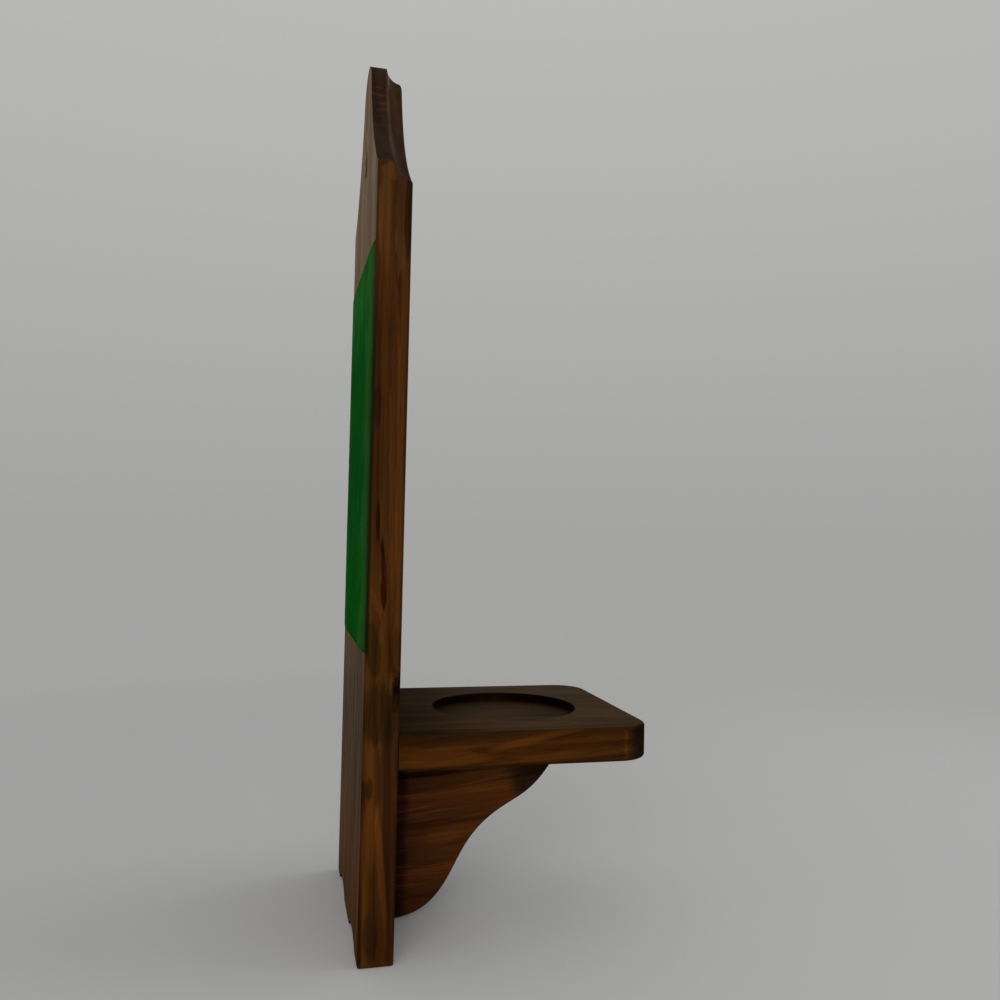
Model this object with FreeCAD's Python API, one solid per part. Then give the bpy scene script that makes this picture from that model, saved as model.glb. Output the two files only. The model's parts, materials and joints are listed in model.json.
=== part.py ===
"""Wooden wall sconce shelf: a moulded backboard, a candle shelf with a round well, and a scrolled corbel."""
import FreeCAD, Part
import math
import os

Vector = FreeCAD.Vector

# Frame: millimetres, +Z up, +X across the board, the wall lies towards +Y.
# The board's back face is the plane y = 0, and the origin is the centre of the keyhole's entry hole.

# Backboard
board_width = 140.0
board_height = 504.0
board_thick = 19.0
board_ease = 1.2        # rounding of the long side arrises and of the bottom ones
crest_rise = 83.0       # peak of the crest above its shoulders
cap_radius = 22.0       # rounded top of the crest
sweep_radius = 125.0    # hollow sweep from each shoulder up to the cap
toe_width = 15.0        # flat at each bottom corner
scallop_rise = 6.0      # height of the two scallops in the bottom edge
lobe_margin = 1.5       # flat of the bottom edge beyond each side of the corbel

# Moulding along the front of the crest
mould_width = 9.5
mould_depth = 9.5
mould_lip = 2.0         # rounded lower lip
cove_sag = 1.6          # hollow of the cove below its chord

# Shelf
shelf_top_height = 118.5  # above the bottom edge of the board
shelf_depth = 144.0
shelf_thick = 19.0
shelf_corner = 19.0       # plan radius of the front corners
shelf_ease = 1.8
well_diameter = 87.0
well_depth = 5.0
well_forward = 2.0        # well centre in front of the shelf's middle
well_ease = 0.8

# Corbel
corbel_thick = 28.5
corbel_reach = 107.0
corbel_lift = 0.4         # foot above the bottom edge of the board
corbel_ease = 1.0

# Felt pad on the back
felt_thick = 1.4
felt_side_gap = 2.0
felt_top_gap = 42.0       # below the shoulders
felt_bottom_gap = 42.5    # above the shelf's top

# Keyhole hanger plate, let in flush
key_rise = 20.0           # entry hole above the shoulders
plate_width = 16.0
plate_thick = 1.6
plate_end = 6.0           # plate beyond each screw centre
entry_diameter = 9.0
slot_width = 4.8
slot_length = 11.0
screw_clear = 7.0         # wood between a screw and the pocket, centre to edge
pocket_width = 11.0
pocket_depth = 8.0        # below the plate
mortise_gap = 0.2

# Countersunk screws of the plate
screw_shank = 2.9
screw_head = 5.6
screw_length = 12.0
screw_tip = 3.0
screw_slot_width = 0.8
screw_slot_depth = 0.7
screw_gap = 0.05

# Dowels
dowel_diameter = 8.0
dowel_in_board = 11.0
dowel_in_shelf_edge = 22.0
dowel_in_shelf_face = 8.0
dowel_in_corbel = 20.0
dowel_chamfer = 1.0
dowel_gap = 0.1           # glue gap all round
dowel_end_gap = 0.5
shelf_dowel_spacing = 90.0

# Places along the corbel, as shares of its height and reach
corbel_back_dowels = (0.30, 0.66)
corbel_top_dowels = (0.30, 0.60)

# Scroll of the corbel, from foot to nose: shares of its reach and of its height
scroll = (
    (0.00, 0.000),
    (0.14, 0.011),
    (0.23, 0.054),
    (0.31, 0.134),
    (0.385, 0.263),
    (0.46, 0.408),
    (0.56, 0.532),
    (0.68, 0.622),
    (0.80, 0.699),
    (0.91, 0.817),
    (1.00, 1.000),
)

# Derived levels and planes
half_width = board_width / 2
shoulder_height = board_height - crest_rise
z_bottom = -(shoulder_height + key_rise)
z_shoulder = z_bottom + shoulder_height
z_peak = z_bottom + board_height
z_shelf = z_bottom + shelf_top_height
z_under = z_shelf - shelf_thick
z_foot = z_bottom + corbel_lift
corbel_height = z_under - z_foot
y_front = -board_thick
y_shelf_front = y_front - shelf_depth
y_well = y_front - shelf_depth / 2 - well_forward
lobe_half = corbel_thick / 2 + lobe_margin
overcut = 2.0             # how far a cutter reaches past the wood


def line(start, end):
    return Part.LineSegment(start, end).toShape()


def arc(start, middle, end):
    return Part.Arc(start, middle, end).toShape()


def prism(edges, direction):
    """Extrudes the closed outline that the edges make."""
    return Part.Face(Part.Wire(edges)).extrude(direction)


def near(a, b):
    return abs(a - b) < 1e-6


def cylinder(radius, length, start, direction):
    return Part.makeCylinder(radius, length, start, direction)


def crest_centres():
    """Centres of the cap circle and of the right sweep circle, which touch from outside."""
    cap = Vector(0, 0, z_peak - cap_radius)
    shoulder = Vector(half_width, 0, z_shoulder)
    along = cap - shoulder
    span = along.Length
    along.normalize()
    outward = Vector(along.z, 0, -along.x)
    reach = (sweep_radius ** 2 - (sweep_radius + cap_radius) ** 2 + span ** 2) / (2 * span)
    height = math.sqrt(sweep_radius ** 2 - reach ** 2)
    return cap, shoulder + along * reach + outward * height


def mirrored(point):
    return Vector(-point.x, point.y, point.z)


def angle_about(centre, point):
    return math.atan2(point.z - centre.z, point.x - centre.x)


def on_circle(centre, radius, angle):
    return Vector(centre.x + radius * math.cos(angle), 0, centre.z + radius * math.sin(angle))


def crest_arcs():
    """Right sweep, cap and left sweep, from the right shoulder to the left one."""
    cap, sweep = crest_centres()
    corner = Vector(half_width, 0, z_shoulder)
    touch_angle = angle_about(cap, sweep)
    touch = on_circle(cap, cap_radius, touch_angle)
    start = angle_about(sweep, corner) % (2 * math.pi)
    end = angle_about(sweep, touch) % (2 * math.pi)
    middle = on_circle(sweep, sweep_radius, (start + end) / 2)
    right = arc(corner, middle, touch)
    top = arc(touch, Vector(0, 0, z_peak), mirrored(touch))
    left = arc(mirrored(touch), mirrored(middle), mirrored(corner))
    return right, top, left


def bottom_edges():
    """Bottom edge from left to right: toe, scallop, lobe under the corbel, scallop, toe."""
    toe = half_width - toe_width
    middle = (toe + lobe_half) / 2
    low = [Vector(x, 0, z_bottom) for x in (-half_width, -toe, -lobe_half, lobe_half, toe, half_width)]
    high = z_bottom + scallop_rise
    return [
        line(low[0], low[1]),
        arc(low[1], Vector(-middle, 0, high), low[2]),
        line(low[2], low[3]),
        arc(low[3], Vector(middle, 0, high), low[4]),
        line(low[4], low[5]),
    ]


def mould_section(radius, inward, far_radius):
    """Section to cut away, at y from the back of the moulding to past the front, as a face in the XY plane.

    The contour has this radius, the wood lies inward of it (+1 outwards, -1 towards the axis),
    and far_radius is a radius clear of the wood.
    """
    y_back = y_front + mould_depth
    y_clear = y_front - overcut

    def place(offset, depth):
        return Vector(radius + inward * offset, y_back - depth, 0)

    lip_offset = mould_width - mould_lip
    lip_depth = mould_depth - mould_lip
    chord = math.hypot(lip_offset, lip_depth)
    cove_start = place(0, 0)
    cove_middle = place(lip_offset / 2 + cove_sag * lip_depth / chord,
                        lip_depth / 2 - cove_sag * lip_offset / chord)
    cove_end = place(lip_offset, lip_depth)
    diagonal = mould_lip * math.sqrt(0.5)
    lip_middle = place(mould_width - diagonal, lip_depth + diagonal)
    lip_end = place(mould_width, mould_depth)
    clear_end = Vector(lip_end.x, y_clear, 0)
    clear_far = Vector(far_radius, y_clear, 0)
    back_far = Vector(far_radius, y_back, 0)
    edges = [
        arc(cove_start, cove_middle, cove_end),
        arc(cove_end, lip_middle, lip_end),
        line(lip_end, clear_end),
        line(clear_end, clear_far),
        line(clear_far, back_far),
        line(back_far, cove_start),
    ]
    return Part.Face(Part.Wire(edges))


def turned(face, centre, start, end):
    """Turns a section about the axis along Y through centre, from one angle to another in the XZ plane."""
    axis = Vector(0, 1, 0)
    placed = face.copy()
    placed.rotate(Vector(0, 0, 0), axis, -math.degrees(start))
    placed.translate(centre)
    return placed.revolve(centre, axis, -math.degrees(end - start))


def crest_cutters():
    cap, sweep = crest_centres()
    touch_angle = angle_about(cap, sweep)
    start = touch_angle + math.pi
    side_cosine = (half_width + overcut - sweep.x) / (sweep_radius + mould_width)
    end = 2 * math.pi - math.acos(side_cosine)
    cap_cutter = turned(mould_section(cap_radius, -1, cap_radius + overcut),
                        cap, touch_angle, math.pi - touch_angle)
    right_cutter = turned(mould_section(sweep_radius, 1, sweep_radius - overcut), sweep, start, end)
    left_cutter = right_cutter.mirror(Vector(0, 0, 0), Vector(1, 0, 0))
    return [cap_cutter, right_cutter, left_cutter]


def obround(width, z_low, z_high, y_start, depth):
    """Upright solid with round ends, from y_start back towards -Y; the ends' centres are at z_low and z_high."""
    radius = width / 2
    corners = [Vector(x, y_start, z) for x, z in
               ((-radius, z_low), (radius, z_low), (radius, z_high), (-radius, z_high))]
    edges = [
        arc(corners[0], Vector(0, y_start, z_low - radius), corners[1]),
        line(corners[1], corners[2]),
        arc(corners[2], Vector(0, y_start, z_high + radius), corners[3]),
        line(corners[3], corners[0]),
    ]
    return prism(edges, Vector(0, -depth, 0))


# Keyhole levels
z_slot_end = slot_length
z_pocket_low = (pocket_width - entry_diameter) / 2
z_screw_low = -entry_diameter / 2 - screw_clear
z_screw_high = z_slot_end + slot_width / 2 + screw_clear
screw_levels = (z_screw_low, z_screw_high)


def plate_outline(gap, y_start, depth):
    width = plate_width + 2 * gap
    inset = plate_width / 2 - plate_end
    return obround(width, z_screw_low + inset, z_screw_high - inset, y_start, depth)


def dowel_places():
    """Start, direction and the depths in the first and second piece of each group of dowels."""
    z_middle = z_shelf - shelf_thick / 2
    shelf_edge = [(Vector(x, y_front, z_middle), Vector(0, -1, 0), dowel_in_board, dowel_in_shelf_edge)
                  for x in (-shelf_dowel_spacing / 2, shelf_dowel_spacing / 2)]
    corbel_back = [(Vector(0, y_front, z_foot + share * corbel_height), Vector(0, -1, 0),
                    dowel_in_board, dowel_in_corbel) for share in corbel_back_dowels]
    corbel_top = [(Vector(0, y_front - share * corbel_reach, z_under), Vector(0, 0, -1),
                   dowel_in_shelf_face, dowel_in_corbel) for share in corbel_top_dowels]
    return {"shelf_dowels": shelf_edge, "corbel_back_dowels": corbel_back, "corbel_top_dowels": corbel_top}


def dowel_solid(start, direction, before, after):
    body = cylinder(dowel_diameter / 2, before + after, start - direction * before, direction)
    ends = [e for e in body.Edges if e.Curve.TypeId == "Part::GeomCircle"]
    return body.makeChamfer(dowel_chamfer, ends)


def dowel_hole(start, direction, before, after):
    radius = dowel_diameter / 2 + dowel_gap
    first = start - direction * (before + dowel_end_gap)
    return cylinder(radius, before + after + 2 * dowel_end_gap, first, direction)


def dowel_holes(*groups):
    places = dowel_places()
    return [dowel_hole(*place) for group in groups for place in places[group]]


def screw_solid(level, gap):
    """Countersunk screw, its head flush with the back face; a gap makes the hole that it fits."""
    shank = screw_shank / 2 + gap
    head = screw_head / 2 + gap
    head_depth = head - shank
    y_tip = -screw_length - gap
    points = [
        Vector(0, 0, 0),
        Vector(head, 0, 0),
        Vector(shank, -head_depth, 0),
        Vector(shank, y_tip + screw_tip, 0),
        Vector(0, y_tip, 0),
        Vector(0, 0, 0),
    ]
    face = Part.Face(Part.makePolygon(points))
    body = face.revolve(Vector(0, 0, 0), Vector(0, 1, 0), 360)
    body.translate(Vector(0, 0, level))
    return body


def make_backboard():
    side_right = line(Vector(half_width, 0, z_bottom), Vector(half_width, 0, z_shoulder))
    side_left = line(Vector(-half_width, 0, z_shoulder), Vector(-half_width, 0, z_bottom))
    outline = bottom_edges() + [side_right] + list(crest_arcs()) + [side_left]
    board = prism(outline, Vector(0, -board_thick, 0))
    sides = [e for e in board.Edges if all(near(abs(v.X), half_width) for v in e.Vertexes)
             and near(e.Length, shoulder_height)]
    bottom = [e for e in board.Edges if all(near(v.Z, z_bottom) for v in e.Vertexes)
              and near(e.Vertexes[0].Y, e.Vertexes[-1].Y)]
    board = board.makeFillet(board_ease, sides + bottom)
    board = board.cut(crest_cutters())
    mortise = plate_outline(mortise_gap, 0, plate_thick)
    pocket = obround(pocket_width, z_pocket_low, z_slot_end, -plate_thick, pocket_depth)
    pilots = [screw_solid(level, screw_gap) for level in screw_levels]
    return board.cut([mortise, pocket] + pilots + dowel_holes("shelf_dowels", "corbel_back_dowels"))


def make_shelf():
    back_left = Vector(-half_width, y_front, z_under)
    back_right = Vector(half_width, y_front, z_under)
    left_start = Vector(-half_width, y_shelf_front + shelf_corner, z_under)
    right_end = Vector(half_width, y_shelf_front + shelf_corner, z_under)
    left_end = Vector(-half_width + shelf_corner, y_shelf_front, z_under)
    right_start = Vector(half_width - shelf_corner, y_shelf_front, z_under)
    inset = shelf_corner * (1 - math.sqrt(0.5))
    left_middle = Vector(-half_width + inset, y_shelf_front + inset, z_under)
    right_middle = Vector(half_width - inset, y_shelf_front + inset, z_under)
    outline = [
        line(back_left, left_start),
        arc(left_start, left_middle, left_end),
        line(left_end, right_start),
        arc(right_start, right_middle, right_end),
        line(right_end, back_right),
        line(back_right, back_left),
    ]
    shelf = prism(outline, Vector(0, 0, shelf_thick))
    rims = [e for e in shelf.Edges if near(e.Vertexes[0].Z, e.Vertexes[-1].Z)
            and not all(near(v.Y, y_front) for v in e.Vertexes)]
    shelf = shelf.makeFillet(shelf_ease, rims)
    well = cylinder(well_diameter / 2, well_depth + overcut, Vector(0, y_well, z_shelf - well_depth), Vector(0, 0, 1))
    shelf = shelf.cut(well)
    rim = [e for e in shelf.Edges if e.Curve.TypeId == "Part::GeomCircle"
           and near(e.Curve.Radius, well_diameter / 2) and near(e.Vertexes[0].Z, z_shelf)]
    shelf = shelf.makeFillet(well_ease, rim)
    return shelf.cut(dowel_holes("shelf_dowels", "corbel_top_dowels"))


def make_corbel():
    x_side = -corbel_thick / 2
    points = [Vector(x_side, y_front - reach * corbel_reach, z_foot + rise * corbel_height)
              for reach, rise in scroll]
    curve = Part.BSplineCurve()
    curve.interpolate(points)
    top_back = Vector(x_side, y_front, z_under)
    outline = [curve.toShape(), line(points[-1], top_back), line(top_back, points[0])]
    corbel = prism(outline, Vector(corbel_thick, 0, 0))
    scroll_edges = [e for e in corbel.Edges if e.Curve.TypeId == "Part::GeomBSplineCurve"]
    corbel = corbel.makeFillet(corbel_ease, scroll_edges)
    return corbel.cut(dowel_holes("corbel_back_dowels", "corbel_top_dowels"))


def make_felt_pad():
    width = board_width - 2 * felt_side_gap
    z_low = z_shelf + felt_bottom_gap
    height = z_shoulder - felt_top_gap - z_low
    return Part.makeBox(width, felt_thick, height, Vector(-width / 2, 0, z_low))


def make_keyhole_plate():
    plate = plate_outline(0, 0, plate_thick)
    entry = cylinder(entry_diameter / 2, plate_thick + 2 * overcut, Vector(0, overcut, 0), Vector(0, -1, 0))
    slot = obround(slot_width, 0, z_slot_end, overcut, plate_thick + 2 * overcut)
    holes = [screw_solid(level, screw_gap) for level in screw_levels]
    return plate.cut([entry, slot] + holes)


def make_keyhole_screws():
    screws = []
    for level in screw_levels:
        slot = Part.makeBox(screw_head, screw_slot_depth, screw_slot_width,
                            Vector(-screw_head / 2, -screw_slot_depth, level - screw_slot_width / 2))
        screws.append(screw_solid(level, 0).cut(slot))
    return Part.makeCompound(screws)


def make_dowels(group):
    return Part.makeCompound([dowel_solid(*place) for place in dowel_places()[group]])


def main():
    nodes = {
        "backboard": make_backboard(),
        "shelf": make_shelf(),
        "corbel": make_corbel(),
        "felt_pad": make_felt_pad(),
        "keyhole_plate": make_keyhole_plate(),
        "keyhole_screws": make_keyhole_screws(),
    }
    for group in dowel_places():
        nodes[group] = make_dowels(group)
    os.makedirs("parts", exist_ok=True)
    for name, shape in nodes.items():
        shape.exportStep("parts/" + name + ".step")
        print(name, "solids", len(shape.Solids), "volume", round(shape.Volume, 1), "valid", shape.isValid())


main()
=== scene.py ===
import bpy
import bmesh
import json
import math
from mathutils import Matrix, Vector, noise


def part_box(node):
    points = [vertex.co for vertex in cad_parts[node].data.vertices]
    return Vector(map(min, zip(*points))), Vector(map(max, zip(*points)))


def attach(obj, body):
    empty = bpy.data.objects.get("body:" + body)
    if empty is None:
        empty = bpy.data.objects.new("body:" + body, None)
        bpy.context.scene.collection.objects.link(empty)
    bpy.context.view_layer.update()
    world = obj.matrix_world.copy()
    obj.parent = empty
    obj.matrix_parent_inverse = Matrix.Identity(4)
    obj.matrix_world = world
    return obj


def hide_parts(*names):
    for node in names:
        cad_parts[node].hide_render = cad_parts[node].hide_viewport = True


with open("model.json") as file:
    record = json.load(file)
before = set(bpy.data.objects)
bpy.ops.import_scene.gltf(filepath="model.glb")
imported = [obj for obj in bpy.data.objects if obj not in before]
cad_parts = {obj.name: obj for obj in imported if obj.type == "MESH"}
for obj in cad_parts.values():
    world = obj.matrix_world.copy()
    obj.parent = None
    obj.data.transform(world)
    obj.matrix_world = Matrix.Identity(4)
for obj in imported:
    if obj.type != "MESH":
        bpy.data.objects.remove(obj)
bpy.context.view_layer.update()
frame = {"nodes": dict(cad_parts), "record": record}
cad = frame["nodes"]

# Levels of the object in metres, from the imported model
board_low, board_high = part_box("backboard")
shelf_low, shelf_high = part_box("shelf")
felt_low, felt_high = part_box("felt_pad")
side = board_high.x
board_front = board_low.y
well = next(mount for mount in frame["record"]["mounts"] if mount["name"] == "candle_well")
well_centre = well["pos_m"]
well_radius = well["dims"]["r_mm"] / 1000

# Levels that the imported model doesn't name: the board's shoulders, and the back of the crest's moulding
shoulder = -0.020
mould_back = board_front + 0.0095


def srgb(red, green, blue):
    """Linear colour of a display colour given from 0 to 255."""
    def linear(value):
        share = value / 255
        return share / 12.92 if share <= 0.04045 else ((share + 0.055) / 1.055) ** 2.4
    return (linear(red), linear(green), linear(blue), 1.0)


class Shader:
    """Builds the node tree of one material on object coordinates, which are the part's own frame."""

    def __init__(self, name):
        self.material = bpy.data.materials.new(name)
        self.material.use_nodes = True
        self.tree = self.material.node_tree
        self.tree.nodes.clear()
        self.surface = self.tree.nodes.new("ShaderNodeBsdfPrincipled")
        output = self.tree.nodes.new("ShaderNodeOutputMaterial")
        self.tree.links.new(self.surface.outputs["BSDF"], output.inputs["Surface"])
        place = self.tree.nodes.new("ShaderNodeTexCoord")
        split = self.tree.nodes.new("ShaderNodeSeparateXYZ")
        self.tree.links.new(place.outputs["Object"], split.inputs[0])
        self.x, self.y, self.z = split.outputs
        geometry = self.tree.nodes.new("ShaderNodeNewGeometry")
        facing = self.tree.nodes.new("ShaderNodeSeparateXYZ")
        self.tree.links.new(geometry.outputs["Normal"], facing.inputs[0])
        self.facing_x, self.facing_y, self.facing_z = facing.outputs

    def put(self, socket, value):
        """Links a socket to another one, or sets it to a number or colour."""
        if isinstance(value, bpy.types.NodeSocket):
            self.tree.links.new(value, socket)
        else:
            socket.default_value = value

    def set(self, **inputs):
        """Sets or links inputs of the shader; an underscore in a name stands for a space."""
        for name, value in inputs.items():
            self.put(self.surface.inputs[name.replace("_", " ")], value)

    def math(self, operation, first, second=0.0, third=0.0):
        node = self.tree.nodes.new("ShaderNodeMath")
        node.operation = operation
        for socket, value in zip(node.inputs, (first, second, third)):
            self.put(socket, value)
        return node.outputs[0]

    def absolute(self, value):
        return self.math("ABSOLUTE", value)

    def add(self, first, second):
        return self.math("ADD", first, second)

    def plus(self, base, value, share):
        """Base plus a share of a value."""
        return self.math("MULTIPLY_ADD", value, share, base)

    def times(self, *values):
        """Product of numbers or masks."""
        total = values[0]
        for value in values[1:]:
            total = self.math("MULTIPLY", total, value)
        return total

    def toned(self, tone, mask, gain):
        """Tone raised by a share inside a mask, or lowered where the share is below zero."""
        return self.times(tone, self.plus(1.0, mask, gain))

    def length(self, *parts):
        total = self.times(parts[0], parts[0])
        for part in parts[1:]:
            total = self.plus(total, part, part)
        return self.math("SQRT", total)

    def vector(self, x, y, z):
        node = self.tree.nodes.new("ShaderNodeCombineXYZ")
        for socket, value in zip(node.inputs, (x, y, z)):
            self.put(socket, value)
        return node.outputs[0]

    def stretched(self, scales, shift):
        """Object coordinates with a scale for each axis, moved along by a shift."""
        axes = (self.x, self.y, self.z)
        return self.vector(*(self.plus(shift, axis, scale) for axis, scale in zip(axes, scales)))

    def noise(self, vector, detail=2.0, roughness=0.5, distortion=0.0):
        node = self.tree.nodes.new("ShaderNodeTexNoise")
        self.put(node.inputs["Vector"], vector)
        node.inputs["Scale"].default_value = 1.0
        node.inputs["Detail"].default_value = detail
        node.inputs["Roughness"].default_value = roughness
        node.inputs["Distortion"].default_value = distortion
        return node.outputs["Fac"]

    def scatter(self, value):
        """One steady random number for each whole number."""
        node = self.tree.nodes.new("ShaderNodeTexWhiteNoise")
        node.noise_dimensions = "1D"
        self.put(node.inputs["W"], value)
        return node.outputs["Value"]

    def ease(self, value, low, high, start=0.0, end=1.0):
        """Smooth passage from start to end while a value goes from low to high."""
        node = self.tree.nodes.new("ShaderNodeMapRange")
        node.interpolation_type = "SMOOTHSTEP"
        for name, number in (("Value", value), ("From Min", low), ("From Max", high),
                             ("To Min", start), ("To Max", end)):
            self.put(node.inputs[name], number)
        return node.outputs["Result"]

    def ramp(self, value, stops):
        """Colour read off a row of stops, each a position and a colour."""
        node = self.tree.nodes.new("ShaderNodeValToRGB")
        elements = node.color_ramp.elements
        while len(elements) < len(stops):
            elements.new(0.5)
        for element, (position, colour) in zip(elements, stops):
            element.position = position
            element.color = colour
        self.put(node.inputs["Fac"], value)
        return node.outputs["Color"]

    def blend(self, factor, first, second):
        """First colour drawn towards the second by a factor."""
        node = self.tree.nodes.new("ShaderNodeMix")
        node.data_type = "RGBA"
        self.put(node.inputs[0], factor)
        self.put(node.inputs[6], first)
        self.put(node.inputs[7], second)
        return node.outputs[2]

    def shade(self, colour, amount):
        """Colour times a number."""
        node = self.tree.nodes.new("ShaderNodeVectorMath")
        node.operation = "SCALE"
        self.put(node.inputs[0], colour)
        self.put(node.inputs["Scale"], amount)
        return node.outputs[0]

    def bump(self, height, distance, strength=1.0, soft_edge=0.0):
        """Normal of a rough surface, with its arrises softened over a radius where one is given."""
        node = self.tree.nodes.new("ShaderNodeBump")
        node.inputs["Strength"].default_value = strength
        node.inputs["Distance"].default_value = distance
        self.put(node.inputs["Height"], height)
        if soft_edge:
            bevel = self.tree.nodes.new("ShaderNodeBevel")
            bevel.samples = 6
            bevel.inputs["Radius"].default_value = soft_edge
            self.tree.links.new(bevel.outputs["Normal"], node.inputs["Normal"])
        return node.outputs["Normal"]


def near_line(s, first, second):
    """Distance to the nearest of some arrises: each item is an axis and the places of the arrises on it."""
    def gap(axis, places):
        gaps = [s.absolute(s.add(axis, -place)) for place in places]
        found = gaps[0]
        for other in gaps[1:]:
            found = s.math("MINIMUM", found, other)
        return found
    return s.length(gap(*first), gap(*second))


def patches(s, shapes, waver=0.0, outer=1.25, inner=0.60):
    """Soft-edged patches as seen from the side, one inside and none outside.

    Each shape is its centre along Y and Z, its half size along Y and Z, and its turn in degrees. waver
    roughens the edges, which fade between the inner and the outer share of the half size.
    """
    found = 0.0
    for y, z, half_y, half_z, turn in shapes:
        cosine = math.cos(math.radians(turn))
        sine = math.sin(math.radians(turn))
        out = s.add(s.y, -y)
        up = s.add(s.z, -z)
        first = s.plus(s.times(up, sine / half_y), out, cosine / half_y)
        second = s.plus(s.times(out, -sine / half_z), up, cosine / half_z)
        patch = s.ease(s.add(s.length(first, second), waver), outer, inner)
        found = s.math("MAXIMUM", patch, found)
    return found


def patched(s, colour, tone, mask, tint, amount, gain):
    """Colour drawn towards a tint, and tone raised or lowered, inside a mask."""
    colour = s.blend(s.times(mask, amount), colour, tint)
    return colour, s.toned(tone, mask, gain)


def near_side(s, mask):
    """Mask kept to the near side, at low X, and faded out within 12 mm of it."""
    return s.times(mask, s.ease(s.x, -side + 0.012, -side + 0.003))


def pine(name, grain, pith, lean, spacing, seed, tones, sheen, knots=(), arrises=None, extra=None,
         end_dark=0.42, end_span=(0.30, 0.85), shine=0.14):
    """Stained and varnished pine: growth rings about a leaning pith line, fibre, pores, blotches and knots.

    The grain runs along Z or Y. pith is where the rings centre across the grain, lean its slope along the
    grain, and spacing the width of a ring. tones are the stained early wood, the body colour and the late
    wood, sheen is the range of the varnish's roughness and shine its strength. Each knot is its centre, its
    size, how far it pushes the rings and how dark it is. end_dark is how much darker the ends of the grain
    are, and end_span says how squarely a face cuts the grain where that starts and where it is full.
    arrises gives the lines that are rubbed darker, and extra adds the marks of one piece.
    """
    s = Shader(name)
    upright = grain == "Z"
    across, along = ((s.x, s.y), s.z) if upright else ((s.x, s.z), s.y)
    across = [s.plus(axis, along, -slope) for axis, slope in zip(across, lean)]

    def figure(cross_scale, long_scale, shift, **options):
        """Noise drawn out along the grain."""
        scaled = [s.plus(shift, axis, scale)
                  for axis, scale in zip((*across, along), (cross_scale, cross_scale, long_scale))]
        return s.noise(s.vector(*scaled), **options)

    radius = s.length(*(s.add(axis, -centre) for axis, centre in zip(across, pith)))
    radius = s.plus(radius, figure(13, 2.4, seed, detail=1.0), 0.020)
    radius = s.plus(radius, figure(70, 7, seed + 3.1, detail=2.0), 0.0022)
    dark = 1.0
    for centre, size, bulge, depth in knots:
        parts = [s.times(s.add(axis, -middle), 1 / reach)
                 for axis, middle, reach in zip((s.x, s.y, s.z), centre, size)]
        distance = s.length(*parts)
        swell = s.math("EXPONENT", s.times(distance, distance, -0.7))
        radius = s.plus(radius, swell, bulge)
        rough = s.add(distance, s.ease(figure(400, 90, seed + 9.7), 0.3, 0.7, -0.25, 0.25))
        dark = s.times(dark, s.ease(rough, 0.55, 1.15, 1 - depth, 1.0))

    count = s.times(radius, 1 / spacing)
    ring = s.math("FRACT", count)
    ring_tone = s.ease(s.scatter(s.math("FLOOR", count)), 0, 1, 0.82, 1.16)
    early, body, late = tones
    colour = s.ramp(ring, [(0.0, early), (0.30, body), (0.62, late), (0.82, late), (1.0, early)])

    fibre = figure(1500, 26, seed + 1.3, detail=3.0, roughness=0.6)
    streak = figure(260, 6, seed + 5.9, detail=2.0)
    pores = s.ease(figure(900, 30, seed + 7.7, detail=1.0), 0.63, 0.74)
    blotch = figure(22, 8, seed + 2.2, detail=2.0)
    band = figure(75, 5, seed + 10.4, detail=1.0)
    redness = figure(34, 9, seed + 4.4, detail=1.0)

    tone = s.times(ring_tone,
                   s.ease(fibre, 0.25, 0.75, 0.86, 1.14),
                   s.ease(streak, 0.3, 0.7, 0.86, 1.14),
                   s.ease(blotch, 0.3, 0.72, 0.80, 1.20),
                   s.ease(band, 0.32, 0.68, 0.84, 1.16))
    tone = s.toned(tone, pores, -0.30)
    if knots:
        tone = s.times(tone, dark)

    end_axis = s.facing_z if upright else s.facing_y
    end_grain = s.ease(s.absolute(end_axis), *end_span)
    tone = s.toned(tone, end_grain, -end_dark)
    if arrises:
        rub = figure(300, 40, seed + 6.1)
        to_arris = s.add(near_line(s, *arrises(s)), s.times(rub, 0.0012))
        tone = s.times(tone, s.ease(to_arris, 0.0012, 0.0030, 0.74, 1.0))

    height = s.plus(s.times(ring, 0.25), fibre, 0.5)
    height = s.plus(height, pores, -0.7)
    gloss = s.ease(figure(90, 14, seed + 8.3), 0.3, 0.7, *sheen)
    gloss = s.plus(gloss, end_grain, 0.16)
    colour = s.blend(s.ease(redness, 0.45, 0.8, 0.0, 0.45), colour, srgb(58, 23, 4))
    colour = s.blend(s.times(end_grain, 0.55), colour, srgb(50, 36, 25))
    if extra:
        colour, tone, height, gloss = extra(s, colour, tone, height, gloss)
    s.set(Base_Color=s.shade(colour, tone), Roughness=gloss, IOR=1.47, Specular_IOR_Level=shine,
          Normal=s.bump(height, 0.00022, 0.55, soft_edge=0.0007))
    return s.material


# Figure of the board's near edge: a tint, its amount, the change of tone, and the patches that it covers
mauves = srgb(54, 28, 11), 0.55, -0.20, (
    (-0.0135, -0.3400, 0.0058, 0.0220, 0.0),
    (-0.0155, -0.3800, 0.0040, 0.0500, -3.0),
    (-0.0060, -0.4250, 0.0045, 0.0120, 0.0),
    (-0.0160, -0.2800, 0.0028, 0.0130, 0.0),
    (-0.0155, -0.3200, 0.0032, 0.0100, 0.0),
)
olives = srgb(46, 30, 5), 0.55, -0.32, (
    (-0.0041, -0.3500, 0.0020, 0.0060, 0.0),
    (-0.0040, -0.2780, 0.0040, 0.0150, -5.0),
    (-0.0085, -0.3110, 0.0110, 0.0170, 0.0),
    (-0.0030, -0.1500, 0.0022, 0.0140, 0.0),
)
ochres = srgb(72, 44, 19), 0.60, 0.22, (
    (-0.0090, -0.0250, 0.0075, 0.0050, 0.0),
    (-0.0138, -0.0500, 0.0044, 0.0300, 0.0),
    (-0.0045, -0.0500, 0.0032, 0.0300, 0.0),
)
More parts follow.
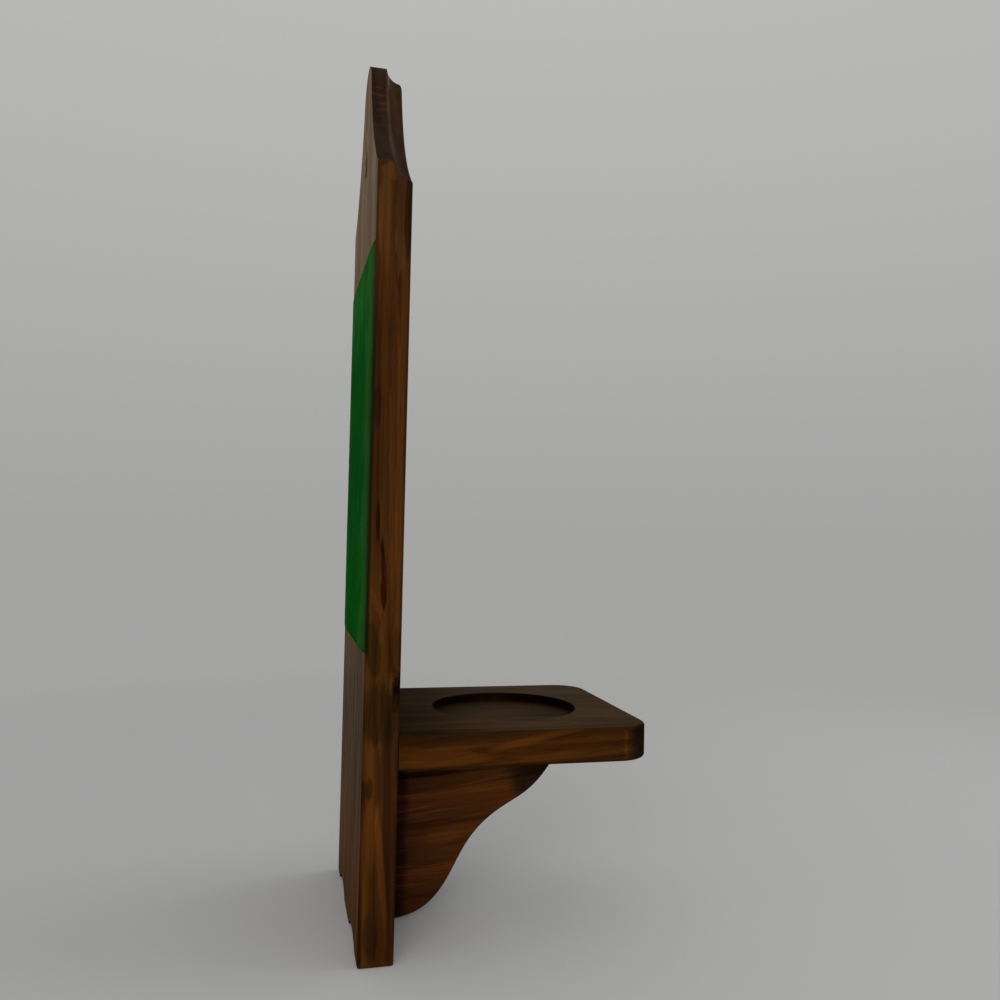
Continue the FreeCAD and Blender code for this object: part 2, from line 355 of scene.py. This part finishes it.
lights = srgb(76, 40, 8), 0.50, 0.0, (
    (-0.0072, -0.0850, 0.0050, 0.0260, 0.0),
    (-0.0062, -0.2560, 0.0020, 0.0110, -22.0),
    (-0.0107, -0.2810, 0.0016, 0.0140, -5.0),
    (-0.0030, -0.3360, 0.0038, 0.0120, 0.0),
    (-0.0055, -0.3740, 0.0055, 0.0190, -4.0),
    (-0.0095, -0.4402, 0.0100, 0.0026, 0.0),
)
stripes = srgb(76, 42, 11), 0.50, 0.34, (
    (-0.0126, -0.1720, 0.0026, 0.1000, -0.7),
    (-0.0116, -0.3970, 0.0020, 0.0380, -5.5),
)
darks = srgb(44, 26, 5), 0.80, -0.30, (
    (-0.0170, -0.0480, 0.0021, 0.0260, 0.0),
    (-0.0165, -0.3040, 0.0022, 0.0070, 0.0),
)
reds = srgb(42, 11, 2), 0.80, -0.30, (
    (-0.0050, -0.2105, 0.0011, 0.0110, 0.0),
    (-0.0080, -0.2310, 0.0010, 0.0130, -1.0),
    (-0.0087, -0.2475, 0.0016, 0.0085, -2.0),
)
edge_figure = (mauves, olives, ochres, lights, stripes, darks, reds)


def board_details(s, colour, tone, height, gloss):
    """Figure of the near edge, the bare back, the darker back arrises beside the felt, partly dark stain and
    partly painted shade, and the crest.
    """
    ragged = s.plus(-0.45, s.noise(s.stretched((150, 420, 80), 12.0), detail=2.0), 0.9)
    for tint, amount, gain, shapes in edge_figure:
        mask = near_side(s, patches(s, shapes, ragged, outer=1.14, inner=0.74))
        colour, tone = patched(s, colour, tone, mask, tint, amount, gain)

    # The back below the felt is darker just under it and lighter towards the bottom
    bare = s.times(s.ease(s.facing_y, 0.80, 0.95),
                   s.ease(s.z, felt_low.z + 0.010, felt_low.z - 0.010))
    tone = s.toned(tone, bare, s.ease(s.z, -0.330, -0.400, -0.26, 0.80))

    # Dark line along the back arrises, as far as the felt reaches: partly dark stain in the rounding, partly
    # painted shade of the felt's edge
    beside = s.times(s.ease(s.z, felt_low.z - 0.006, felt_low.z + 0.004),
                     s.ease(s.z, felt_high.z, felt_high.z - 0.070))
    arris = s.times(s.ease(s.y, -0.0025, -0.0009), s.ease(s.absolute(s.facing_x), 0.2, 0.5))
    colour, tone = patched(s, colour, tone, s.times(beside, arris), srgb(26, 40, 4), 0.80, -0.45)
    return crest_marks(s, colour, tone, height, gloss)


def crest_marks(s, colour, tone, height, gloss):
    """Sawn edge of the crest with a few marks of the saw, grey brown from its dull end grain and a painted
    sheen, the duller cove before it with painted shade in its hollow, and a painted highlight along the
    arris.
    """
    to_back = s.absolute(s.facing_y)
    edge = s.times(s.ease(to_back, 0.5, 0.25),
                   s.ease(s.z, shoulder - 0.001, shoulder + 0.004),
                   s.ease(s.y, mould_back - 0.0005, mould_back + 0.0008))
    slant = s.plus(s.z, s.absolute(s.x), -0.6)
    wander = s.noise(s.stretched((60, 25, 60), 11.0), detail=1.0)
    wave = s.math("SINE", s.plus(s.times(slant, 900.0), wander, 16.0))
    patch = s.noise(s.stretched((90, 160, 90), 5.0), detail=2.0)
    sawn = s.times(s.ease(s.z, 0.006, 0.014), s.ease(s.z, 0.048, 0.040))
    cut = s.times(edge, sawn, s.times(s.ease(wave, 0.20, 0.9), s.ease(patch, 0.40, 0.56)))
    # Partly painted sheen: the sawn edge is drawn to a grey brown, also for its dull end grain, and darkened
    # more towards the top of the crest
    colour = s.blend(s.times(edge, 0.60), colour, srgb(48, 33, 22))
    colour, tone = patched(s, colour, tone, cut, srgb(70, 52, 44), 0.42, 0.16)
    tone = s.toned(tone, edge, s.ease(s.z, -0.012, 0.040, -0.16, -0.46))

    # Painted shade in the hollow of the cove: drawn to a dark grey brown and darkened, more towards the top;
    # its varnish is also rougher
    cove = s.times(s.ease(to_back, 0.95, 0.80),
                   s.ease(s.y, mould_back + 0.0005, mould_back - 0.0008),
                   s.ease(s.z, shoulder - 0.016, shoulder - 0.008),
                   s.ease(s.absolute(s.facing_x), 0.995, 0.97))
    cove_painted_shade = s.ease(s.z, -0.012, 0.020, -0.22, -0.36)
    colour, tone = patched(s, colour, tone, cove, srgb(48, 33, 26), 0.50, cove_painted_shade)

    # Painted highlight: a pale line along the arris at the back of the moulding
    arris = s.times(s.ease(s.absolute(s.add(s.y, -mould_back)), 0.0017, 0.0006),
                    s.ease(to_back, 0.98, 0.90),
                    s.ease(s.z, shoulder, shoulder + 0.006))
    colour, tone = patched(s, colour, tone, arris, srgb(76, 60, 50), 0.65, 0.25)
    height = s.plus(height, cut, 0.6)
    gloss = s.plus(gloss, cove, 0.18)
    return colour, tone, height, s.plus(gloss, edge, 0.14)


def shelf_details(s, colour, tone, height, gloss):
    """Figure of the shelf's near side, the painted shade and sheen of its top, darkest and rougher towards
    the board, and the candle well.
    """
    to_board = s.add(board_front, s.times(s.y, -1.0))
    ragged = s.plus(-0.4, s.noise(s.stretched((60, 60, 400), 3.0), detail=2.0), 0.8)
    streak = ((-0.046, -0.3256, 0.050, 0.0044, -2.0),)
    mask = near_side(s, patches(s, streak, ragged))
    colour, tone = patched(s, colour, tone, mask, srgb(50, 32, 6), 0.50, -0.22)
    flames = ((-0.043, -0.3358, 0.027, 0.0056, 0.0), (-0.092, -0.3276, 0.030, 0.0021, -11.0))
    mask = near_side(s, patches(s, flames, ragged))
    colour, tone = patched(s, colour, tone, mask, srgb(84, 44, 6), 0.45, 0.18)

    # Painted shade and sheen on the top: darkened all over, most at the board, a little more again beyond 80
    # to 130 mm from it, and more from the near side to the far side, and drawn to an olive brown as a painted
    # sheen
    top = s.ease(s.facing_z, 0.5, 0.9)
    level = s.times(s.ease(to_board, 0.0, 0.004, 0.60, 1.0),
                    s.ease(to_board, 0.0, 0.060, 0.45, 0.76),
                    s.ease(to_board, 0.080, 0.130, 1.0, 0.84),
                    s.ease(s.x, -0.060, 0.060, 1.14, 0.66))
    tone = s.toned(tone, top, s.add(level, -1.0))
    colour = s.blend(s.times(top, 0.50), colour, srgb(58, 42, 18))
    gloss = s.add(gloss, s.ease(to_board, 0.070, 0.010, 0.0, 0.30))

    # Lighter line where a side turns into the rounded front corner
    turn = s.absolute(s.facing_y)
    line = s.times(s.ease(turn, 0.04, 0.08), s.ease(turn, 0.17, 0.12),
                   s.ease(s.absolute(s.facing_z), 0.30, 0.15))
    tone = s.toned(tone, line, 0.35)
    tone, gloss = well_marks(s, tone, gloss)
    return colour, tone, height, gloss


def well_marks(s, tone, gloss):
    """Candle well darkened by painted shade, with its wall darker still, partly raw cut grain that drank the
    stain and partly painted shade, and painted lighting on its floor.
    """
    reach = s.length(s.add(s.x, -well_centre[0]), s.add(s.y, -well_centre[1]))
    inside = s.times(s.ease(reach, well_radius + 0.0012, well_radius + 0.0004),
                     s.ease(s.z, shelf_high.z - 0.0100, shelf_high.z - 0.0080))
    wall = s.times(inside, s.ease(s.facing_z, 0.90, 0.35))
    foot = s.times(inside, s.ease(reach, well_radius - 0.0022, well_radius - 0.0004))
    # Painted lighting on the floor: lighter in the middle and towards the far side, darker towards the wall
    # and most at the near side, as the shadow of the near rim
    painted_lighting = s.add(s.ease(reach, 0.004, 0.034, 0.08, -0.20), s.ease(s.x, -0.042, 0.042, -0.16, 0.24))
    # Painted shade: the whole well is darkened, its wall more, partly for its raw grain, and a ring at the
    # foot of the wall as the corner's shade
    for mask, gain in ((inside, painted_lighting), (inside, -0.30), (wall, -0.55), (foot, -0.30)):
        tone = s.toned(tone, mask, gain)
    return tone, s.plus(gloss, inside, 0.06)


def corbel_details(s, colour, tone, height, gloss):
    """Dark red band beside the board, partly stain and partly painted shade cast by the board; fine light
    grain; painted light and shade over its faces; painted shadow of the shelf on its front point and just
    below the shelf; and a dark line along the join under the shelf, partly painted shade.
    """
    to_board = s.add(board_front, s.times(s.y, -1.0))
    to_shelf = s.add(shelf_low.z, s.times(s.z, -1.0))
    # Dark red band within about 12 to 18 mm of the board: partly dark red stain in the joint, partly painted
    # shade cast by the board
    waver = s.noise(s.stretched((20, 60, 45), 6.0), detail=2.0)
    joint = s.ease(s.plus(to_board, waver, 0.006), 0.0125, 0.0185, 1.0, 0.0)
    colour, tone = patched(s, colour, tone, joint, srgb(50, 9, 4), 0.88, -0.35)

    fan = s.ease(s.z, -0.432, -0.360, 0.0, 0.16)
    slanted = s.plus(s.z, s.y, fan)
    lines = s.noise(s.vector(s.times(s.x, 60), s.times(s.y, 16), s.times(slanted, 480)), detail=1.0)
    colour, tone = patched(s, colour, tone, s.ease(lines, 0.58, 0.72), srgb(92, 54, 16), 0.30, 0.10)
    wedge = patches(s, ((-0.052, -0.396, 0.013, 0.0034, -7.0),), s.plus(-0.4, waver, 0.8))
    colour, tone = patched(s, colour, tone, wedge, srgb(80, 44, 14), 0.40, 0.12)

    # Painted light: the corbel is brightened at its bottom and more towards its top, to lift the shade that
    # falls on it
    tone = s.times(tone, s.ease(s.z, -0.436, -0.395, 1.24, 1.0), s.ease(s.z, -0.405, -0.362, 0.94, 1.28))
    # Painted shade along the rounded contour, where its faces turn away from the side
    turn = s.absolute(s.facing_x)
    rim = s.times(s.ease(turn, 0.97, 0.85), s.ease(turn, 0.1, 0.5))
    tone = s.toned(tone, rim, -0.45)
    # Painted shadow of the shelf's front over the point of the corbel
    nose_painted_shadow = patches(s, ((-0.119, -0.350, 0.0370, 0.0260, 12.0),), s.plus(-0.6, waver, 1.2))
    colour, tone = patched(s, colour, tone, nose_painted_shadow, srgb(48, 30, 10), 0.70, -0.58)
    # Painted shadow of the shelf's edge as a dark line a little below it, taken together with a darker strip
    # within 3.4 mm of the shelf's underside, partly the dark joint and partly painted shade under the shelf
    shelf_edge_painted_shadow = patches(s, ((-0.0340, -0.3588, 0.0340, 0.0020, -2.3),))
    dark_joint_and_shelf_shade = s.math("MAXIMUM", s.ease(to_shelf, 0.0034, 0.0012), shelf_edge_painted_shadow)
    colour, tone = patched(s, colour, tone, dark_joint_and_shelf_shade, srgb(44, 9, 3), 0.80, -0.50)
    return colour, tone, height, gloss


def felt_material():
    """Matted green felt, paler and patchy towards its sides, with painted shade on its cut edges and painted
    light that makes its upper end brighter and paler in patches.
    """
    s = Shader("green_felt_look")
    tangle = s.noise(s.stretched((900, 900, 900), 1.0), detail=4.0, roughness=0.65, distortion=0.6)
    fleck = s.noise(s.stretched((2600, 2600, 700), 4.0), detail=2.0, distortion=1.2)
    cloud = s.noise(s.stretched((45, 45, 30), 8.0), detail=3.0)
    rub = s.noise(s.stretched((14, 14, 9), 2.0), detail=1.0)
    colour = s.ramp(s.add(s.times(tangle, 0.6), s.times(fleck, 0.4)),
                    [(0.30, srgb(5, 62, 14)), (0.50, srgb(9, 78, 20)), (0.72, srgb(18, 98, 31))])
    tone = s.times(s.ease(cloud, 0.3, 0.7, 0.86, 1.12), s.ease(rub, 0.3, 0.7, 0.92, 1.08))

    out = s.absolute(s.x)
    patchy = s.add(out, s.ease(cloud, 0.25, 0.75, -0.012, 0.012))
    band = s.ease(patchy, felt_high.x - 0.034, felt_high.x - 0.014)
    colour = s.blend(s.times(band, 0.58), colour, srgb(44, 88, 38))
    tone = s.times(tone, s.ease(out, felt_high.x - 0.012, felt_high.x, 1.0, 0.70))
    # Painted shade on the felt's cut edges
    rim = s.ease(s.facing_y, 0.96, 0.70)
    tone = s.toned(tone, rim, -0.35)
    # Painted light: the felt grows brighter towards its upper end, and paler there in cloudy patches
    tone = s.times(tone, s.ease(s.z, felt_high.z - 0.110, felt_high.z, 1.0, 1.18))
    painted_lighting = s.times(s.ease(s.z, felt_high.z - 0.060, felt_high.z - 0.005),
                   s.ease(cloud, 0.25, 0.65, 0.20, 0.50))
    colour = s.blend(painted_lighting, colour, srgb(46, 96, 40))
    height = s.add(s.times(tangle, 0.7), s.times(fleck, 0.5))
    s.set(Base_Color=s.shade(colour, tone), Roughness=0.95, Specular_IOR_Level=0.0, Sheen_Weight=0.02,
          Sheen_Roughness=0.45, Sheen_Tint=srgb(120, 190, 120), Normal=s.bump(height, 0.0005, 0.8))
    return s.material


def brass_material(name, seed):
    """Brass plating, dulled in patches and finely scratched."""
    s = Shader(name)
    tarnish = s.noise(s.stretched((210, 210, 210), seed), detail=4.0, roughness=0.6)
    scratch = s.noise(s.stretched((3200, 900, 160), seed + 2), detail=2.0)
    colour = s.ramp(tarnish, [(0.32, srgb(52, 38, 22)), (0.55, srgb(92, 72, 42)), (0.75, srgb(128, 104, 64))])
    tone = s.ease(scratch, 0.3, 0.7, 0.88, 1.08)
    s.set(Base_Color=s.shade(colour, tone), Metallic=0.6, Roughness=s.ease(tarnish, 0.3, 0.7, 0.55, 0.30),
          Normal=s.bump(scratch, 0.00005, 0.6, soft_edge=0.0003))
    return s.material


def dress(node, material):
    """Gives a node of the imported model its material."""
    mesh = cad[node].data
    mesh.materials.clear()
    mesh.materials.append(material)


def board_arrises(s):
    return (s.x, (-side, side)), (s.y, (0.0, board_front))


def shelf_arrises(s):
    return (s.x, (-side, side)), (s.z, (shelf_low.z,))


# Colours of the wooden pieces: early wood, body and late wood; the corbel's are lighter, partly its own stain
# and partly painted light that lifts the shade it stands in
stain = (srgb(49, 23, 2), srgb(60, 31, 3), srgb(72, 40, 5))
stain_shelf = (srgb(52, 26, 3), srgb(60, 31, 4), srgb(68, 37, 6))
corbel_stain_and_painted_light = (srgb(63, 30, 3), srgb(69, 34, 3), srgb(75, 39, 5))
dowel_tones = (srgb(176, 140, 98), srgb(200, 165, 120), srgb(214, 184, 142))

# Knots of the board: one on its near front arris, two that only bend the rings, and one on its front
board_knots = (
    ((-side, board_front, -0.2975), (0.0060, 0.0056, 0.0062), 0.010, 0.80),
    ((-side, -0.0086, -0.2440), (0.0060, 0.0040, 0.0180), 0.005, 0.0),
    ((-side, -0.0050, -0.3500), (0.0060, 0.0050, 0.0200), 0.004, 0.0),
    ((0.021, board_front, -0.150), (0.0085, 0.0300, 0.0120), 0.026, 0.40),
)

dress("backboard", pine("backboard_wood_look", "Z", pith=(-0.022, -0.072), lean=(0.012, 0.020),
                        spacing=0.0072, seed=3.0, tones=stain, sheen=(0.29, 0.40), knots=board_knots,
                        arrises=board_arrises, extra=board_details))
dress("shelf", pine("shelf_wood_look", "Y", pith=(0.030, -0.255), lean=(0.05, -0.09), spacing=0.0062,
                    seed=14.0, tones=stain_shelf, sheen=(0.44, 0.54), arrises=shelf_arrises,
                    extra=shelf_details, end_dark=0.62, end_span=(0.12, 0.46), shine=0.07))
dress("corbel", pine("corbel_wood_look", "Y", pith=(0.020, -0.520), lean=(0.02, -0.09), spacing=0.0090,
                     seed=27.0, tones=corbel_stain_and_painted_light, sheen=(0.40, 0.52), extra=corbel_details))
for group, grain in (("shelf_dowels", "Y"), ("corbel_back_dowels", "Y"), ("corbel_top_dowels", "Z")):
    dress(group, pine(group + "_look", grain, pith=(0.02, 0.03), lean=(0.0, 0.0), spacing=0.0022,
                      seed=41.0, tones=dowel_tones, sheen=(0.6, 0.7)))
dress("keyhole_plate", brass_material("hanger_metal_look", 5.0))
dress("keyhole_screws", brass_material("screw_metal_look", 9.0))

# Form of the felt, in metres and in shares of its thickness
felt_step = 0.0017          # spacing of the mesh
felt_waver = 0.0004         # waver of the cut edge
felt_full = 0.92            # share in the middle
felt_pressed = 0.62         # share pressed away at the sides
felt_press_reach = 0.008
felt_end_share = 0.70       # part of the height that is left at the ends
felt_end_reach = 0.0024
felt_gap = 0.00003          # to the board


def felt_rise(x, z):
    """Height of the felt's face above the board: pressed thin at the sides, rounded at the ends, uneven."""
    thick = felt_high.y - felt_low.y
    from_side = min(x - felt_low.x, felt_high.x - x)
    from_end = min(z - felt_low.z, felt_high.z - z)
    rise = thick * (felt_full - felt_pressed * math.exp(-from_side / felt_press_reach))
    rise *= felt_end_share + (1 - felt_end_share) * min(1.0, from_end / felt_end_reach) ** 0.5
    rise += 0.00008 * noise.noise(Vector((x * 240, 0, z * 240)))
    rise += 0.00010 * noise.noise(Vector((x * 45, 5, z * 45)))
    return rise


def felt_pad():
    """Felt slab with a softly waved cut edge, in the space of its CAD solid."""
    width = felt_high.x - felt_low.x
    height = felt_high.z - felt_low.z
    columns = round(width / felt_step)
    rows = round(height / felt_step)
    mesh = bmesh.new()
    grid = []
    for row in range(rows + 1):
        line = []
        for column in range(columns + 1):
            across = column / columns
            up = row / rows
            x = felt_low.x + width * across
            z = felt_low.z + height * up
            waver_x = felt_waver * noise.noise(Vector((3.0, z * 60, 1.0))) * (2 * across - 1)
            waver_z = felt_waver * noise.noise(Vector((x * 60, 7.0, 2.0))) * (2 * up - 1)
            y = min(felt_low.y + felt_rise(x, z), felt_high.y)
            line.append(mesh.verts.new((x + waver_x, y, z + waver_z)))
        grid.append(line)
    for row in range(rows):
        for column in range(columns):
            mesh.faces.new((grid[row][column], grid[row + 1][column],
                            grid[row + 1][column + 1], grid[row][column + 1]))
    last = [line[-1] for line in grid[1:]]
    first = [line[0] for line in grid[-2:0:-1]]
    border = grid[0] + last + grid[-1][-2::-1] + first
    foot = [mesh.verts.new((v.co.x, felt_low.y + felt_gap, v.co.z)) for v in border]
    for index in range(len(border)):
        following = (index + 1) % len(border)
        mesh.faces.new((border[index], border[following], foot[following], foot[index]))
    mesh.faces.new(foot[::-1])
    bmesh.ops.recalc_face_normals(mesh, faces=mesh.faces)
    for face in mesh.faces:
        face.smooth = True
    data = bpy.data.meshes.new("felt")
    mesh.to_mesh(data)
    mesh.free()
    piece = bpy.data.objects.new("felt", data)
    bpy.context.scene.collection.objects.link(piece)
    piece.data.materials.append(felt_material())
    return piece


felt = felt_pad()
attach(felt, "root")
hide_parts("felt_pad")


def make_floor(level, radius, colour):
    """Pale round floor that fades out towards its rim, so that no horizon shows."""
    mesh = bmesh.new()
    bmesh.ops.create_circle(mesh, cap_ends=True, segments=96, radius=radius)
    data = bpy.data.meshes.new("floor")
    mesh.to_mesh(data)
    mesh.free()
    floor = bpy.data.objects.new("floor", data)
    floor.location = (0, -0.08, level)
    bpy.context.scene.collection.objects.link(floor)
    material = bpy.data.materials.new("floor_look")
    material.use_nodes = True
    tree = material.node_tree
    tree.nodes.clear()
    output = tree.nodes.new("ShaderNodeOutputMaterial")
    diffuse = tree.nodes.new("ShaderNodeBsdfDiffuse")
    diffuse.inputs["Color"].default_value = colour
    clear = tree.nodes.new("ShaderNodeBsdfTransparent")
    mix = tree.nodes.new("ShaderNodeMixShader")
    place = tree.nodes.new("ShaderNodeTexCoord")
    reach = tree.nodes.new("ShaderNodeVectorMath")
    reach.operation = "LENGTH"
    fade = tree.nodes.new("ShaderNodeMapRange")
    fade.interpolation_type = "SMOOTHSTEP"
    fade.inputs["From Min"].default_value = radius * 0.35
    fade.inputs["From Max"].default_value = radius * 0.95
    tree.links.new(place.outputs["Object"], reach.inputs[0])
    tree.links.new(reach.outputs["Value"], fade.inputs["Value"])
    tree.links.new(fade.outputs["Result"], mix.inputs["Fac"])
    tree.links.new(diffuse.outputs[0], mix.inputs[1])
    tree.links.new(clear.outputs[0], mix.inputs[2])
    tree.links.new(mix.outputs[0], output.inputs["Surface"])
    data.materials.append(material)
    floor.visible_glossy = False


floor_gap = 0.0004
make_floor(board_low.z - floor_gap, 1.1, (0.64, 0.64, 0.635, 1.0))


def make_world():
    """Soft studio surround: an even level for lighting, a paler one for the view, a graded one for gloss."""
    world = bpy.data.worlds.new("studio")
    bpy.context.scene.world = world
    world.use_nodes = True
    world.cycles.sampling_method = "NONE"
    tree = world.node_tree
    tree.nodes.clear()
    place = tree.nodes.new("ShaderNodeTexCoord")
    path = tree.nodes.new("ShaderNodeLightPath")

    def graded(direction, span, strengths):
        """Strength that rises along a direction of the room."""
        dot = tree.nodes.new("ShaderNodeVectorMath")
        dot.operation = "DOT_PRODUCT"
        dot.inputs[1].default_value = Vector(direction).normalized()
        tree.links.new(place.outputs["Generated"], dot.inputs[0])
        rise = tree.nodes.new("ShaderNodeMapRange")
        for name, value in zip(("From Min", "From Max", "To Min", "To Max"), span + strengths):
            rise.inputs[name].default_value = value
        tree.links.new(dot.outputs["Value"], rise.inputs["Value"])
        return rise.outputs["Result"]

    def surround(colour):
        node = tree.nodes.new("ShaderNodeBackground")
        node.inputs["Color"].default_value = colour
        return node

    def chosen(ray, otherwise, wanted):
        """The wanted surround for one kind of ray, and the other one for the rest."""
        mix = tree.nodes.new("ShaderNodeMixShader")
        tree.links.new(path.outputs[ray], mix.inputs["Fac"])
        tree.links.new(otherwise.outputs[0], mix.inputs[1])
        tree.links.new(wanted.outputs[0], mix.inputs[2])
        return mix

    ambient = surround((1.0, 1.0, 1.0, 1.0))
    ambient.inputs["Strength"].default_value = 0.42
    gloss = surround((1.0, 0.76, 0.52, 1.0))
    tree.links.new(graded((0.35, 0.10, 0.93), (-0.1, 0.7), (0.03, 0.46)), gloss.inputs["Strength"])
    view = surround((1.0, 1.0, 0.99, 1.0))
    tree.links.new(graded((0.0, 0.0, 1.0), (0.0, 0.7), (0.37, 0.53)), view.inputs["Strength"])
    lighting = chosen("Is Glossy Ray", ambient, gloss)
    shown = chosen("Is Camera Ray", lighting, view)
    output = tree.nodes.new("ShaderNodeOutputWorld")
    tree.links.new(shown.outputs[0], output.inputs["Surface"])


def make_lamp(name, place, target, size, power):
    """Square soft lamp that looks at a target and leaves no reflection of itself."""
    data = bpy.data.lights.new(name, "AREA")
    data.shape = "SQUARE"
    data.size = size
    data.energy = power
    lamp = bpy.data.objects.new(name, data)
    lamp.visible_glossy = False
    lamp.location = place
    lamp.rotation_euler = (Vector(target) - Vector(place)).to_track_quat("-Z", "Y").to_euler()
    bpy.context.scene.collection.objects.link(lamp)


make_world()
middle = (0.0, -0.05, -0.19)
make_lamp("key", (-1.40, 0.42, -0.08), middle, 1.4, 15.0)
make_lamp("fill", (0.1, -1.50, 0.35), middle, 1.4, 6.0)

# Camera fitted to the photograph: its focal length in millimetres, place, direction and roll in degrees
camera_lens = 32.4
camera_place = (-0.5425, 0.0467, -0.2151)
camera_forward = (0.97001, -0.24057, 0.03489)
camera_roll = 1.226


def make_camera():
    """Camera of the photograph: beside the board and a little behind it, looking along the shelf."""
    data = bpy.data.cameras.new("camera")
    data.sensor_width = 36.0
    data.lens = camera_lens
    data.clip_start = 0.01
    camera = bpy.data.objects.new("camera", data)
    aim = Vector(camera_forward).to_track_quat("-Z", "Y").to_matrix().to_4x4()
    roll = Matrix.Rotation(math.radians(camera_roll), 4, "Z")
    camera.matrix_world = Matrix.Translation(camera_place) @ (aim @ roll)
    bpy.context.scene.collection.objects.link(camera)
    bpy.context.scene.camera = camera


make_camera()
bpy.context.scene.view_settings.view_transform = "Standard"

bpy.context.view_layer.update()
